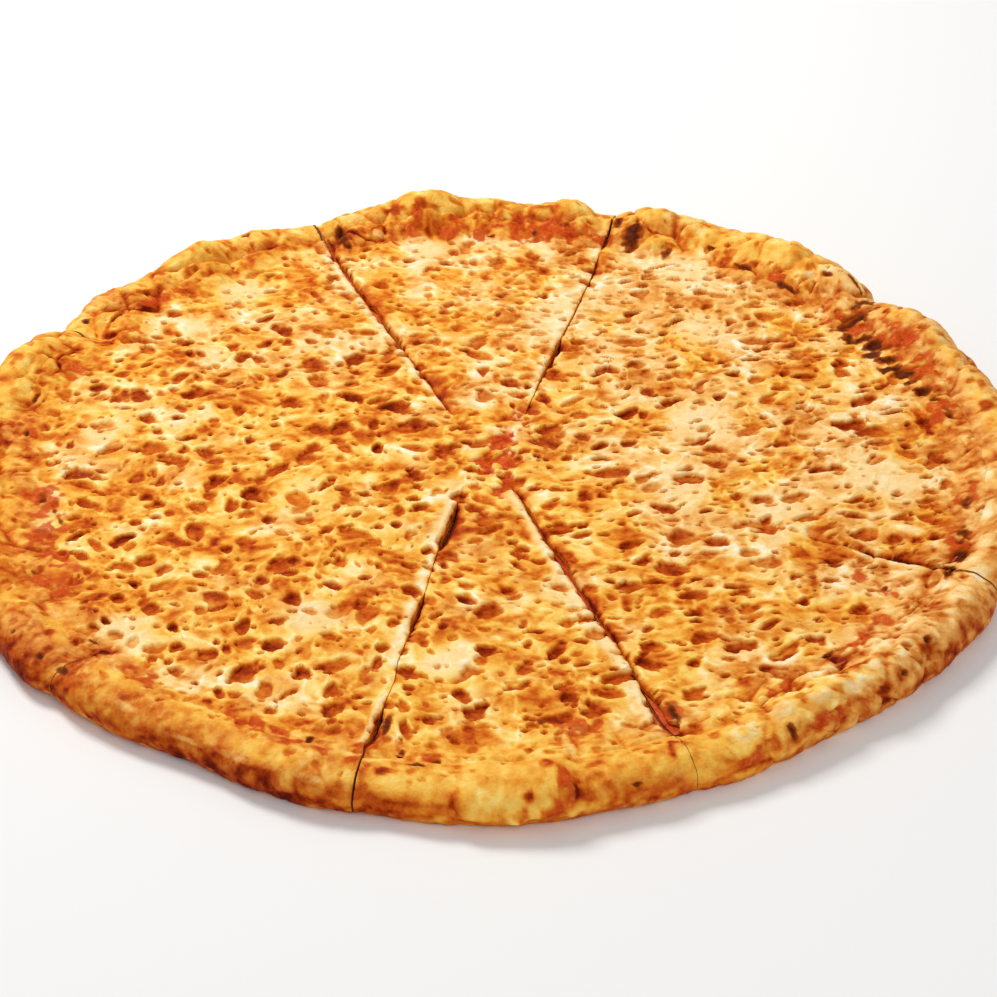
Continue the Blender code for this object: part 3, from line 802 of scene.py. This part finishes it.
cheese = {
    "cell": 0.00060,
    "end": 0.915,
    "wander": 0.012,
    "dips": [  # where it stops short: middle and spread in degrees, change of the share
        (268.0, 11.0, -0.018), (20.0, 9.0, -0.020), (84.0, 8.0, -0.015), (200.0, 9.0, -0.012),
        (291.0, 1.6, -0.020), (304.0, 4.0, -0.010),
    ],
    "edgeDepth": 0.0002,
    "tuck": 0.0014,  # how far its thin edge sinks into the rim's skin
    "swell": (0.034, 0.0008),  # size and height of the broad swells
    "lumps": (0.0070, 0.00040),
    "closedGap": -0.00006,  # neighbours run into each other by this where a cut has closed
    "beadRise": 0.00015,
    "strandRise": 0.00025,
    "sag": 0.0013,  # how far it droops at an open cut
    "thinnest": 0.00015,
    "pitDepth": 0.0015,
    "bigPits": {"spacing": 0.0138, "radius": (0.0021, 0.0047), "keep": 0.94, "back": 0.66, "seed": 3},
    "otherPits": {"spacing": 0.0110, "radius": (0.0012, 0.0028), "keep": 0.90, "back": 0.80, "seed": 9},
    "smallPits": {"spacing": 0.0055, "radius": (0.0005, 0.0014), "keep": 0.80, "back": 1.35, "seed": 4},
    # Places where it stayed white: direction, share of the radius, size in millimetres
    "creamSpots": [
        (17.8, 0.41, 15), (202.9, 0.38, 11), (263.4, 0.64, 10), (129.3, 0.81, 13), (77.0, 0.48, 9),
        (48.2, 0.62, 13), (337.7, 0.56, 14), (172.9, 0.73, 10), (223.2, 0.84, 12), (285.4, 0.44, 8),
        (100.0, 0.83, 10), (355.0, 0.72, 15), (345.0, 0.35, 12), (240.0, 0.60, 9), (60.0, 0.80, 12),
    ],
    "hub": (0.0082, 0.0270),  # half width and half length of the torn middle
    # Where it stays thicker towards the rim: middle and spread in degrees, change of the share
    "shoulders": [(238.0, 16.0, 0.055), (275.0, 8.0, 0.02), (120.0, 7.0, 0.045)],
    "tones": {"plain": 0.535, "pit": 0.885, "cream": 0.16, "strip": 0.11, "under": 0.60},
    "tip": 0.0003,  # how far from the middle it begins
}


def pitField(x, y, pits):
    # How deep in a pit, how near its lip, both from 0 to 1, and how far to its shaded side, the upper left, where the
    # colour gets painted shade
    random = np.random.default_rng(pits["seed"])
    shape = (128, 128)
    shiftX, shiftY = random.uniform(0.08, 0.92, shape), random.uniform(0.08, 0.92, shape)
    sizes = pits["radius"][0] + (pits["radius"][1] - pits["radius"][0]) * random.random(shape) ** 1.4
    strength = np.where(random.random(shape) < pits["keep"], random.uniform(0.50, 1.0, shape), 0.0)
    turns, stretches = random.uniform(-0.8, 0.8, shape), random.uniform(0.85, 1.25, shape)
    spacing = pits["spacing"]
    column, row = np.floor(x / spacing).astype(int), np.floor(y / spacing).astype(int)
    ragged = 0.34 * softNoise(x, y, 0.0030, pits["seed"] + 70)
    ragged = ragged + 0.20 * softNoise(x, y, 0.0013, pits["seed"] + 80)
    inside, around, shaded = np.zeros_like(x), np.zeros_like(x), np.zeros_like(x)
    for dx in (-1, 0, 1):
        for dy in (-1, 0, 1):
            key = ((column + dx) % 128, (row + dy) % 128)
            offX = x - (column + dx + shiftX[key]) * spacing
            offY = y - (row + dy + shiftY[key]) * spacing
            # Towards the right the pits are longer and lie across
            eastern = smooth(-0.02, 0.05, (column + dx) * spacing)
            turn = turns[key] * (1.0 - 0.6 * eastern) + 0.25 * eastern
            stretch = stretches[key] + 0.28 * eastern
            longWay = (offX * np.cos(turn) + offY * np.sin(turn)) / stretch
            crossWay = (offY * np.cos(turn) - offX * np.sin(turn)) * stretch
            size = sizes[key] * (1.0 + (pits["back"] - 1.0) * smooth(0.01, 0.12, (row + dy) * spacing))
            away = np.hypot(longWay, crossWay) / size + ragged
            depth = strength[key] * (1.0 - smooth(0.68, 1.04, away))
            shaded = np.where(depth > inside, np.clip((0.8 * offY - 0.5 * offX) / size, -1.0, 1.0), shaded)
            inside = np.maximum(inside, depth)
            around = np.maximum(around, strength[key] * np.exp(-((away - 1.35) / 0.30) ** 2))
    return inside, around, shaded


def cheeseDepth(share, end):
    ease = np.clip((share - pizza["rimFoot"]) / np.maximum(end - pizza["rimFoot"], 0.01), 0.0, 1.0)
    return pizza["cheeseDepth"] + (cheese["edgeDepth"] - pizza["cheeseDepth"]) * smooth(0.0, 1.0, ease)


def cheeseFloor(share, angle):  # on the sauce, and past its end on the dough
    depth = sauceDepth(np.minimum(share, sauce["end"])) + pizza["layerGap"]
    return sauceFloor(share, angle) + depth * (1.0 - smooth(0.898, 0.912, share))


def fromCut(cut, radius, angle):  # sideways distance from a cut, positive anticlockwise of it
    return radius * np.sin(angle - wobblyCut(cut, radius))


def buildCheese(wedge, finish):
    length = pizza["radius"] * cheese["end"]
    rows = round(length / cheese["cell"])
    columns = round(2.0 * wedge.halfAngle * length / cheese["cell"])
    piece = wedgeBlock(f"cheese_{wedge.number + 1}", rows, columns, wedge.halfAngle)
    flat = readPlaces(piece)
    top = flat[:, 2] > 0.5
    along, across = wedge.sheetPlace(flat)
    radius = np.maximum(along * length, cheese["tip"])
    gaps = [edgeGap(cut, side, radius) for side, cut in enumerate((wedge.first, wedge.second))]
    angle = wedge.angles(radius, across, gaps)
    end = cheeseEnd(angle)
    share = along * (cheese["end"] + (end - cheese["end"]) * smooth(0.6, 1.0, along))
    share = np.maximum(share, cheese["tip"] / pizza["radius"])
    reach = share * pizza["radius"] + edgeShift(share, angle)
    x, y = reach * np.cos(angle), reach * np.sin(angle)
    look = CheeseLook(wedge, x, y, radius, share, angle)
    floor, thick = cheeseFloor(share, angle), cheeseDepth(share, end)
    height = floor + np.maximum(thick + look.relief * thick / pizza["cheeseDepth"], cheese["thinnest"])
    lift = look.rimRelief - cheese["tuck"] * smooth(end - 0.016, end, share)
    height, floor = height + lift, floor + lift
    writePlaces(piece, np.stack([middle[0] + x, middle[1] + y, np.where(top, height, floor)], axis=1))
    addValues(piece, "tone", np.where(top, look.tone, cheese["tones"]["under"]))
    addValues(piece, "milky", look.milky * top)
    addValues(piece, "red", look.red)
    addValues(piece, "burnt", look.burnt)
    dissolveBelow(piece, pizza["doughDepth"] + pizza["sauceDepth"] + 2.0 * pizza["layerGap"])
    piece.data.materials.append(finish)
    shadeAndPlace(piece, wedge, "cheese")
    return piece


def edgeGap(cut, side, radius):
    gap = alongCut(cut["open"], radius / pizza["radius"])
    wave = softNoise(radius, 0.0 * radius + 0.07 * side, 0.0055, int(cut["angle"]))
    bite = smooth(0.15, 0.7, softNoise(radius, 0.0 * radius + 0.03, 0.0080, int(cut["angle"]) + 1))
    ragged = 1.0 + 0.45 * wave + (side != cut["full"]) * 1.1 * bite
    return cheese["closedGap"] + gap * ragged


class CheeseLook:  # relief and colour of the cheese
    def __init__(self, wedge, x, y, radius, share, angle):
        tones = cheese["tones"]
        warpX, warpY = (0.0022 * softNoise(x, y, 0.009, seed) for seed in (92, 93))
        flowX, flowY = x + warpX, y + warpY
        pits = [pitField(flowX, flowY, cheese[name]) for name in ("bigPits", "otherPits", "smallPits")]
        inside = np.maximum(np.maximum(pits[0][0], 0.90 * pits[1][0]), 0.75 * pits[2][0])
        shaded = np.where(pits[0][0] > 0.9 * pits[1][0], pits[0][2], pits[1][2])
        around = np.maximum(np.maximum(pits[0][1], 0.8 * pits[1][1]), 0.45 * pits[2][1])
        edge = share + 0.016 * softNoise(x, y, 0.012, 94) - swellSum(angle, cheese["shoulders"])
        onRim = smooth(0.825, 0.875, edge)
        inside, around = inside * (1.0 - onRim), around * (1.0 - onRim)
        tear = self.hubTear(x, y)
        sag, strip, hollow = self.cutEdges(wedge, radius, angle, share)
        inside = np.maximum(inside, hollow)
        strip = strip * (1.0 - 0.85 * inside)
        # The web: pale strands along the zero lines of one field, golden blotches in another
        threads = roughNoise(flowX, flowY * 0.9, 0.0078, 95)
        strand = np.exp(-(threads / 0.13) ** 2)
        blotch = roughNoise(flowX * 0.85, flowY, 0.0098, 97)
        grain = roughNoise(flowX * 0.75, flowY, 0.0032, 98)
        cream = self.creamSpots(x, y, angle, share, grain)
        eastern, northern = smooth(-0.01, 0.06, x + 0.3 * y), smooth(0.03, 0.12, y)
        tone = tones["plain"] + 0.28 * blotch + 0.28 * grain - 0.22 * strand - 0.02 * eastern - 0.12 * around
        tone -= 0.03 * northern
        # The pits are painted darker on their upper left side: painted shade
        pitTone = tones["pit"] - 0.10 * northern + 0.10 * shaded + 0.12 * grain
        tone += (pitTone - tone) * inside ** 0.6 * 0.97
        tone -= (tone - tones["cream"]) * cream * (1.0 - inside) * 0.70
        tone -= (tone - tones["strip"] - 0.12 * grain) * strip * 0.85
        surface = RimSkin(angle, share * pizza["radius"])
        # Beside an open cut, where the cheese droops, it is also painted darker: painted shade
        self.tone = tone + (surface.tone - tone) * onRim + 0.25 * sag
        patches = roughNoise(x, y, 0.016, 99)
        milky = 0.26 + 0.12 * northern + 0.24 * eastern + 0.50 * patches + 0.4 * cream - 0.4 * blotch
        milky = milky + (surface.milky - milky) * onRim
        self.milky = milky + (1.1 - milky) * strip
        self.red = np.maximum(surface.red * smooth(0.70, 0.75, share), tear)
        self.burnt = surface.burnt * smooth(0.78, 0.82, share)
        size, depth = cheese["swell"]
        self.relief = depth * softNoise(x, y, size, 71)
        size, depth = cheese["lumps"]
        raised = depth * roughNoise(x, y, size, 73) + cheese["strandRise"] * strand
        self.relief += raised + cheese["beadRise"] * strip
        lowered = cheese["pitDepth"] * np.maximum(inside, 0.8 * tear) + cheese["sag"] * sag
        self.relief -= lowered - 0.0002 * around
        self.rimRelief = surface.relief * onRim

    def hubTear(self, x, y):  # the torn middle, where the sauce shows
        halfWidth, halfLength = cheese["hub"]
        away = np.hypot((x - 0.003 - 0.22 * y) / halfWidth, (y + 0.001) / halfLength)
        away = away + 0.75 * roughNoise(x, y, 0.0060, 91)
        bits = smooth(-0.32, 0.02, roughNoise(x, y, 0.0036, 90, 2))
        return (1.0 - smooth(0.60, 1.05, away)) * bits

    def creamSpots(self, x, y, angle, share, grain):
        best = np.zeros_like(x)
        for direction, distance, size in cheese["creamSpots"]:
            spotX = distance * pizza["radius"] * math.cos(math.radians(direction))
            spotY = distance * pizza["radius"] * math.sin(math.radians(direction))
            away = np.hypot(x - spotX, (y - spotY) * 0.8) / (0.001 * size)
            best = np.maximum(best, np.exp(-away ** 2))
        return smooth(0.35, 0.75, best + 0.35 * grain)

    def cutEdges(self, wedge, radius, angle, share):
        sag, strip, hollow = np.zeros_like(radius), np.zeros_like(radius), np.zeros_like(radius)
        for side, cut in enumerate((wedge.first, wedge.second)):
            gap = alongCut(cut["open"], share)
            opened = np.clip(gap / 0.0005, 0.0, 1.0)
            away = (1.0 - 2.0 * side) * fromCut(cut, radius, angle) - gap
            full = float(side == cut["full"])
            ragged = softNoise(radius, 0.0 * radius + 0.05 * side, 0.007, int(cut["angle"]) + 5)
            sag = np.maximum(sag, opened * (1.0 - smooth(0.0, 0.0013, away)) * (1.0 - 0.5 * full))
            width = np.maximum(alongCut(cut["strip"], share) * (0.95 + 0.35 * ragged), 1e-5)
            shape = smooth(0.0, 0.0006, away) * (1.0 - smooth(0.30, 1.40, away / width))
            shape = shape * smooth(0.0006, 0.0015, width)
            strip = np.maximum(strip, shape * full)
            bitten = (1.0 - full) * (1.0 - smooth(0.0006, 0.0042 + 0.002 * ragged, away))
            bitten = bitten * smooth(0.0, 0.6, ragged)
            hollow = np.maximum(hollow, opened * bitten * 0.9)
        return sag, strip * (1.0 - hollow), hollow


# Light, floor and camera

view = {
    "elevation": 33.25,
    "distance": 0.9644,
    "focal": 104.8,
    "shift": (0.0068, -0.0177),
}
floorColor = (0.90, 0.90, 0.895, 1.0)
skyStrength = 0.42
lamps = [  # name, place, size, power, colour
    ("keyLamp", (-0.60, 0.70, 1.0), 0.40, 14.0, (1.0, 0.98, 0.95)),
    ("fillLamp", (0.5, -1.1, 0.9), 1.2, 6.0, (1.0, 0.98, 0.96)),
]


def addCamera():
    rise, distance = math.radians(view["elevation"]), view["distance"]
    deselectAll()
    bpy.ops.object.camera_add(
        location=(middle[0], middle[1] - distance * math.cos(rise), distance * math.sin(rise)),
        rotation=(0.5 * math.pi - rise, 0.0, 0.0),
    )
    camera = bpy.context.object
    camera.data.sensor_width = 36.0
    camera.data.lens = view["focal"]
    camera.data.shift_x, camera.data.shift_y = view["shift"]
    camera.data.clip_start = 0.01
    bpy.context.scene.camera = camera


def addLight(name, place, size, power, color):
    deselectAll()
    bpy.ops.object.light_add(type="AREA", location=place)
    lamp = bpy.context.object
    lamp.name = name
    lamp.data.size = size
    lamp.data.energy = power
    lamp.data.color = color
    direction = -lamp.location
    lamp.rotation_euler = direction.to_track_quat("-Z", "Y").to_euler()


def addStudio():
    deselectAll()
    bpy.ops.mesh.primitive_plane_add(size=6.0, location=(0, 0, 0))
    floor = bpy.context.object
    floor.name = "floor"
    recipe = Recipe("paleFloor", Roughness=0.9)
    recipe.shader.inputs["Base Color"].default_value = floorColor
    floor.data.materials.append(recipe.material)
    floor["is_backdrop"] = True
    for lamp in lamps:
        addLight(*lamp)
    world = bpy.data.worlds.new("softSky")
    world.use_nodes = True
    world.node_tree.nodes["Background"].inputs["Color"].default_value = (1.0, 1.0, 1.0, 1.0)
    world.node_tree.nodes["Background"].inputs["Strength"].default_value = skyStrength
    bpy.context.scene.world = world
    bpy.context.scene.view_settings.view_transform = "Standard"


addCamera()
addStudio()
print("camera, floor and lights are up")

skin, crumb, redSauce, melted = crustFinish(), crumbFinish(), sauceFinish(), cheeseFinish()
for number in range(len(cuts)):
    wedge = Wedge(number)
    pieces = [buildCrust(wedge, skin, crumb), buildSauce(wedge, redSauce), buildCheese(wedge, melted)]
    print("slice", number + 1, "has", sum(len(piece.data.polygons) for piece in pieces), "faces")

{"cad": [list(corner) for corner in cadBox], "visual": [list(corner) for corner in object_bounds()]}
